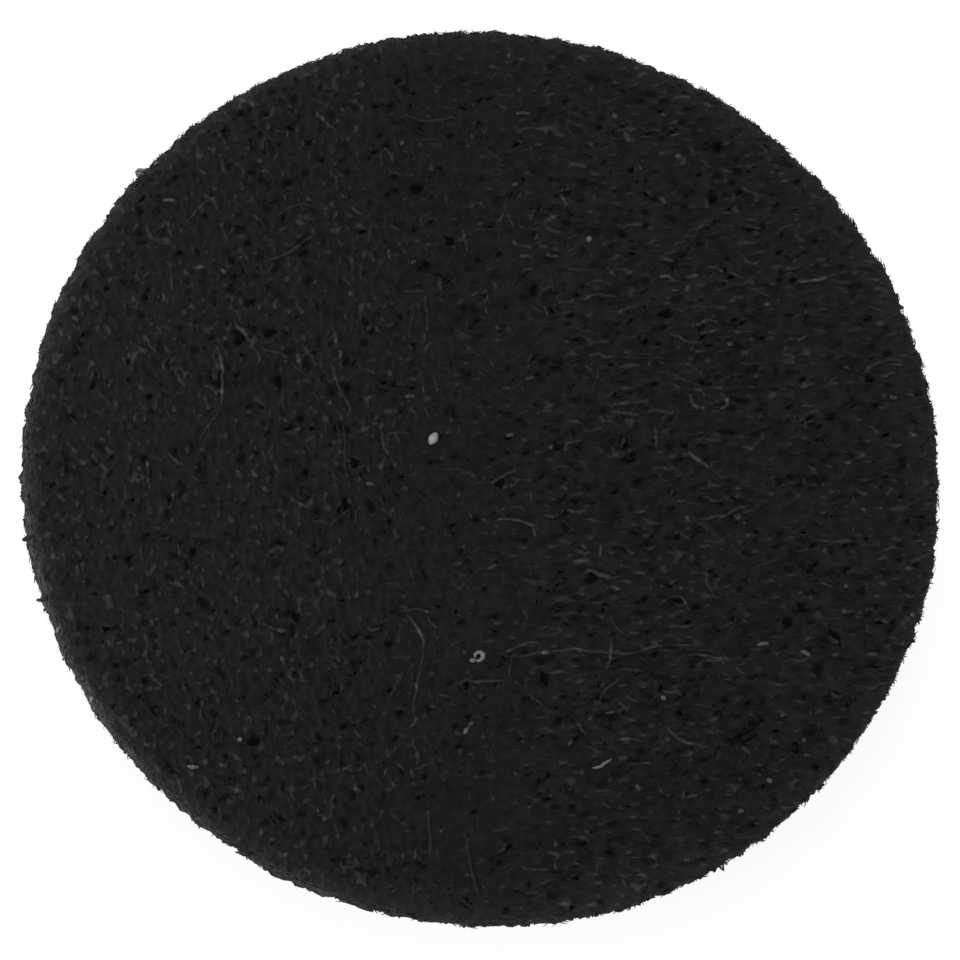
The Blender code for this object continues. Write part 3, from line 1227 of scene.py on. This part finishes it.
# %% [markdown]
# ## Specks of lint
# Black felt collects pale dust. The photo shows one oval speck near the middle, a tiny ring of
# thread below it, and some dots and dashes. They could be flat patches of paint, but they stand
# up from the mat and have a bright and a dark side. So they are short thick fibres too, in a
# pale finish of their own, because no black fibre gets that light.

# %% Mark the lint
LINT = {
    "oval": (9.0, 2.90, ((429.8, 444.2), (433.2, 438.6), (436.6, 433))),
    "ring": (4.6, 1.7, ((475, 658), (475.3, 654), (478.5, 652), (482.3, 653.3), (483, 656.8),
                        (480.5, 660.2), (477, 660.8), (474.8, 659))),
    "ring, knot": (5.0, 1.30, ((469.5, 659.5), (472, 660.5), (475.5, 660.5))),
    "two dots, lower": (4.5, 1.02, ((464, 734), (465.5, 731), (467.5, 728))),
    "two dots, upper": (4.2, 0.48, ((469, 726), (471, 723.6), (473, 721.5))),
    "two dots, neck": (3.0, 0.35, ((467, 729.5), (468.5, 727.5), (469.5, 726))),
    "bright dash": (3.1, 1.15, ((592, 768), (599, 767), (605, 763), (612, 759))),
    "dot, top": (6.0, 0.94, ((587, 238.5), (589.5, 238.8), (591.5, 239.2))),
    "dot, lower left": (5.5, 1.02, ((237.5, 739.5), (240, 739.5), (242, 740))),
    "dash, lower left": (4.2, 0.81, ((187, 766), (193, 767), (199, 767))),
    "dot, right": (5.0, 0.81, ((661.5, 696), (663.5, 698), (665.5, 699.5))),
    "dot, lower right": (5.0, 0.64, ((767, 779), (769.5, 780.5), (772, 781.5))),
    "dash, right": (3.8, 0.72, ((757, 645), (763, 643.5), (769, 643.5))),
    "pair, right": (4.4, 0.64, ((801, 651), (806, 653), (810, 655))),
    "dot on the level hair": (4.0, 0.72, ((541, 653), (545, 652.5), (549, 652))),
    "dash, top left": (3.8, 0.50, ((163, 200.5), (169, 200), (175, 200.5))),
    "dot, far right": (5.0, 0.36, ((845, 584), (846, 586), (847, 588))),
    "dot, far right, lower": (5.0, 0.42, ((911, 613), (912, 615), (913, 616))),
    "dot, bottom right": (5.0, 0.36, ((738, 812), (741, 811), (744, 811))),
    "dot, right, lower": (4.5, 0.30, ((802, 739), (804, 740), (806, 740))),
    "dot, left": (4.0, 0.36, ((281, 656), (282, 659), (282, 662))),
    "dash, left": (4.0, 0.36, ((276, 629), (281, 631), (286, 630))),
    "dot, upper left": (4.5, 0.30, ((221, 269), (223, 271), (226, 274))),
    "upright, upper": (3.6, 0.32, ((389, 249), (389, 254), (390, 259))),
    "dot, upper": (4.2, 0.36, ((411, 263), (414, 262), (416, 261))),
    "dot, top left": (4.5, 0.36, ((400, 142), (402, 143), (404, 141))),
    "upright, left": (3.4, 0.30, ((163, 293), (164, 297), (164, 301))),
    "dash, upper right": (3.2, 0.42, ((660, 277), (666, 276), (672, 278))),
    "dot, upper right": (4.6, 0.36, ((727, 343), (730, 344), (733, 343))),
    "dot, level, top": (3.6, 0.27, ((520, 256), (525, 256), (529, 255))),
    "dash, level, top": (3.6, 0.24, ((546, 255), (553, 256), (559, 256))),
    "dash, top": (3.4, 0.30, ((516, 114), (523, 113), (531, 114))),
    "dot, top right": (4.6, 0.36, ((675, 157), (678, 156), (681, 157))),
    "dot, under the top": (4.2, 0.30, ((405, 397), (410, 396), (415, 397))),
    "dash, far right": (4.0, 0.36, ((890, 396), (893, 398), (897, 397))),
    "left rim": (5.5, 1.35, ((57.5, 632), (59, 629.5), (60, 627))),
    "left rim, lower": (6.0, 1.40, ((91.5, 702), (92.5, 699.5), (93.5, 697))),
    "hair's head": (3.6, 0.30, ((381, 428), (382, 426), (382, 423))),
    "dash, hook": (4.0, 0.36, ((366, 483), (370, 484), (374, 484))),
    "dot, middle": (4.0, 0.36, ((506, 436), (510, 435), (514, 434))),
    "edge": (4.5, 0.94, ((155, 166), (157, 164), (159, 163))),
}

print("specks of lint marked:", len(LINT))

# %% [markdown]
# Pale dust has hardly any mottling of its own, so its finish is the felt's, with a light grey
# for the black and only a fifth of the variation.

# %% Drop the lint
LINT_GREY = 0.10
LINT_RELIEF = 0.02 * MM
LINT_LIFT = 0.08 * MM
LINT_STATIONS = 9

pale_lint = felt_finish("pale_lint", LINT_GREY, LINT_RELIEF, vary=0.2)
widths, shades = widths_and_shades(LINT)
paths, normals = traced([lint[2] for lint in LINT.values()], LINT_STATIONS)
paths = arch(paths, normals, np.full(len(paths), LINT_LIFT), sunk_end=0.0)
sweep("lint", paths, normals, widths, shades, flatten=0.5, taper=0.3, soft=0.3, waver=0.15,
      finish=pale_lint)

# %% [markdown]
# ## The cut wall
# The die sheared through the layers, so the wall shows them edge on. Most of what shows are
# fibres that run along the wall. They are laid as those of the face were, with a slope instead
# of a direction, and they are as pale as the wall around them, some a little more and most a
# little less.

# %% Lay the fibres of the wall
WALL_SEED = 31
WALL_MARGIN = 0.1 * MM
RIM_MARGIN = 0.6 * MM
WALL_FIBRE_LENGTH = 0.65 * MM
WALL_FIBRE_WIDTH = 0.16 * MM
WALL_FIBRE_LIFT = 0.05 * MM
WALL_FIBRE_BEND = 0.5
WALL_FIBRE_SLOPE = 0.35
STEEPEST_SLOPE = 1.3
WALL_FIBRE_SHADE = 0.9


def wall_starts(rng, how_many, low, high):
    """Random points on the wall between two heights, and the direction along it at each."""
    angles = rng.random(how_many) * 2 * math.pi
    radii = outline_radius(angles)
    heights = low + (high - low) * rng.random(how_many)
    starts = np.column_stack([radii * np.cos(angles), radii * np.sin(angles), heights])
    along = np.column_stack([-np.sin(angles), np.cos(angles), np.zeros(how_many)])
    return starts, along


def off_the_ground(paths, widths):
    """Keep every fibre above the flat underside, which the pad lies on."""
    paths[..., 2] = np.maximum(paths[..., 2], widths[:, None] / 2)


def wall_fibres(name, seed, how_many):
    """Fibres lying on the wall, most of them along it."""
    rng = np.random.default_rng(seed)
    starts, along = wall_starts(rng, how_many, WALL_MARGIN, TOP - RIM_MARGIN)
    slope = rng.normal(0, WALL_FIBRE_SLOPE, how_many)
    slope = np.tan(np.clip(slope, -STEEPEST_SLOPE, STEEPEST_SLOPE))
    headings = unit(along + np.array([0.0, 0.0, 1.0]) * slope[:, None])
    headings *= rng.choice([-1.0, 1.0], how_many)[:, None]
    lengths = about(rng, WALL_FIBRE_LENGTH, 0.3, how_many)
    bends = rng.normal(0, WALL_FIBRE_BEND, how_many)
    paths, normals = walk(starts, headings, lengths, bends, steps=4)
    paths = arch(paths, normals, WALL_FIBRE_LIFT * rng.random(how_many))
    widths = about(rng, WALL_FIBRE_WIDTH, 0.25, how_many)
    off_the_ground(paths, widths)
    # Each fibre fades into the wall's paleness, painted light included.
    around = wall_fuzz_and_painted_light(starts, np.ones(how_many))
    shades = about(rng, WALL_FIBRE_SHADE * around, 0.25, how_many)
    sweep(name, paths, normals, widths, shades, flatten=0.24, soft=0.8, finish=wall_felt,
          around=around)


wall_fibres("wall_fibres", WALL_SEED, 3800)

# %% [markdown]
# Between them the cut ends stick out by a tenth or two of a millimetre, and they are what makes
# the outline ragged. A texture can't do that, because an outline is only ever shape. Fine ends
# cover the wall and the rounded rim, and some blunt ones make the coarser bumps.

# %% Let the cut ends stick out
END_STATIONS = 4
END_ROOT = -0.5
END_DROOP = 0.4
END_SHORTEST = 0.4
END_LONGER = 0.9
LEAN_ALONG = 0.6
LEAN_UPWARD = 0.4
ROOT_STEP = 0.01 * MM


def cut_ends(name, seed, how_many, low, high, reach, width, tone):
    """Short ends that stand out of the wall and the rounded rim."""
    rng = np.random.default_rng(seed)
    starts, along = wall_starts(rng, how_many, low, high)
    step = np.full(how_many, ROOT_STEP)
    roots, normals = walk(starts, along, step, np.zeros(how_many), steps=1)
    roots, normals = roots[:, 0], normals[:, 0]
    lean = along * rng.normal(0, LEAN_ALONG, how_many)[:, None]
    lean[:, 2] += rng.normal(0, LEAN_UPWARD, how_many)
    stand = reach * (END_SHORTEST + END_LONGER * rng.random(how_many))
    share = np.linspace(END_ROOT, 1.0, END_STATIONS)
    droop = share ** 2 * END_DROOP
    out = normals[:, None, :] * (share - droop)[None, :, None]
    aside = lean[:, None, :] * (share + droop)[None, :, None]
    paths = roots[:, None, :] + stand[:, None, None] * (out + aside)
    sideways = np.repeat(np.cross(normals, unit(lean))[:, None, :], END_STATIONS, axis=1)
    widths = about(rng, width, 0.2, how_many)
    off_the_ground(paths, widths)
    # Painted light: the ends are lighter towards the left, as the wall is.
    shades = about(rng, tone * left_wall_painted_light(starts), 0.3, how_many)
    sweep(name, paths, sideways, widths, shades, finish=wall_felt)


cut_ends("wall_cut_ends", WALL_SEED + 1, 1300, low=WALL_MARGIN, high=TOP - RIM_MARGIN,
         reach=0.17 * MM, width=0.045 * MM, tone=2.2)
cut_ends("rim_cut_ends", WALL_SEED + 2, 3000, low=TOP - 0.9 * MM, high=TOP + WALL_MARGIN,
         reach=0.17 * MM, width=0.038 * MM, tone=1.6)
cut_ends("blunt_ends", WALL_SEED + 3, 420, low=0.3 * MM, high=TOP - 0.4 * MM,
         reach=0.14 * MM, width=0.14 * MM, tone=2.0)

# %% [markdown]
# ## Tufts at the edge
# In a few places the die left a tuft or a bump that shows against the white. Those are traced
# like the stray hairs. They stand in the air beside the pad, where there is no skin to look
# them up on, so their marks go to a level plane just under the rim.

# %% Leave tufts at the edge
TUFTS = {
    "upper left, curl": (4.0, 9.0, ((149, 173), (142, 170), (137, 171), (138, 176), (144, 175))),
    "upper left, knot": (5.0, 8.0, ((146, 177), (142, 174), (139, 173))),
    "lower right, long": (2.4, 3.0, ((714, 860), (719, 866), (724, 871))),
    "lower right, across": (2.0, 3.0, ((723, 858), (723, 865), (724, 872))),
    "lower right, short": (2.2, 3.0, ((719, 858), (724, 862), (728, 865))),
    "lower right, stub": (2.6, 3.0, ((712, 862), (717, 865), (720, 867))),
    "left spike": (4.2, 3.0, ((48, 598), (42, 600), (36, 600))),
    "left spike, root": (5.0, 3.0, ((48, 594), (44, 598), (40, 601))),
    "upper left bump": (5.0, 3.0, ((32, 536), (26, 539), (22, 540))),
    "top right spike": (4.4, 1.4, ((786, 163), (791, 160), (796, 159))),
    "right bump": (6.5, 1.4, ((820, 196), (825, 193), (829, 192))),
    "right bump, upper": (7.0, 1.4, ((864, 252), (868, 250), (871, 249))),
    "right block": (8.0, 1.8, ((880, 279), (885, 279), (889, 279))),
    "right block, lower": (7.0, 2.4, ((882, 287), (886, 285), (889, 284))),
    "right spike": (5.0, 1.4, ((894, 305), (899, 307), (904, 308))),
}
TUFT_HEIGHT = TOP - 0.8 * MM
TUFT_STATIONS = 8

widths, shades = widths_and_shades(TUFTS)
curves = [curve_through(tuft[2], TUFT_STATIONS) for tuft in TUFTS.values()]
paths = np.array([[tuple(under_pixel(x, y, TUFT_HEIGHT)) for x, y in curve] for curve in curves])
upwards = np.zeros_like(paths)
upwards[..., 2] = 1.0
sweep("tufts", paths, upwards, widths, shades, taper=0.25)

# %% [markdown]
# ## The underside
# The photo doesn't show it. It is the other face of the same felt, so it gets the same kind of
# fibres, without stray hairs or lint. The pad lies on this face, so nothing is lifted there:
# the fibres are pressed into it, and only their lower sides stand out of it.

# %% Lay the fibres of the underside
UNDER_SEED = 51
UNDER_FIBRES = 3000
UNDER_CLEAR = 0.02 * MM
UNDER_TURN = 0.7
UNDER_LENGTH = 0.9 * MM
UNDER_WIDTH = 0.08 * MM
UNDER_SHADE = 1.2

rng = np.random.default_rng(UNDER_SEED)
starts = disc_points(rng, UNDER_FIBRES, EDGE_INSET, 0.0)
angles = rng.normal(0, UNDER_TURN, UNDER_FIBRES)
headings = np.column_stack([np.cos(angles), np.sin(angles), np.zeros(UNDER_FIBRES)])
lengths = about(rng, UNDER_LENGTH, 0.4, UNDER_FIBRES)
bends = rng.normal(0, FIBRE_BEND, UNDER_FIBRES)
paths, normals = walk(starts, headings, lengths, bends, steps=5)
paths = arch(paths, normals, np.zeros(UNDER_FIBRES))
paths[..., 2] = np.maximum(paths[..., 2], UNDER_CLEAR)
widths = about(rng, UNDER_WIDTH, 0.2, UNDER_FIBRES)
sweep("under_fibres", paths, normals, widths, about(rng, UNDER_SHADE, 0.25, UNDER_FIBRES))

# %% [markdown]
# ## Size
# The fibres stand proud of the solid by a few tenths of a millimetre, as they do on the real
# pad. The box of everything, next to the box of the plain solid, shows that it is no more. The
# ground goes just under the lowest fibre, so that the pad lies on it and doesn't dip into it.

# %% Measure the size and lay the ground under the pad
GROUND_CLEAR = 0.005 * MM

visual_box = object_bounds()
ground.location.z = min(0.0, visual_box[0].z) - GROUND_CLEAR
print("visual model, mm:", [round(side / MM, 2) for side in visual_box[1] - visual_box[0]])
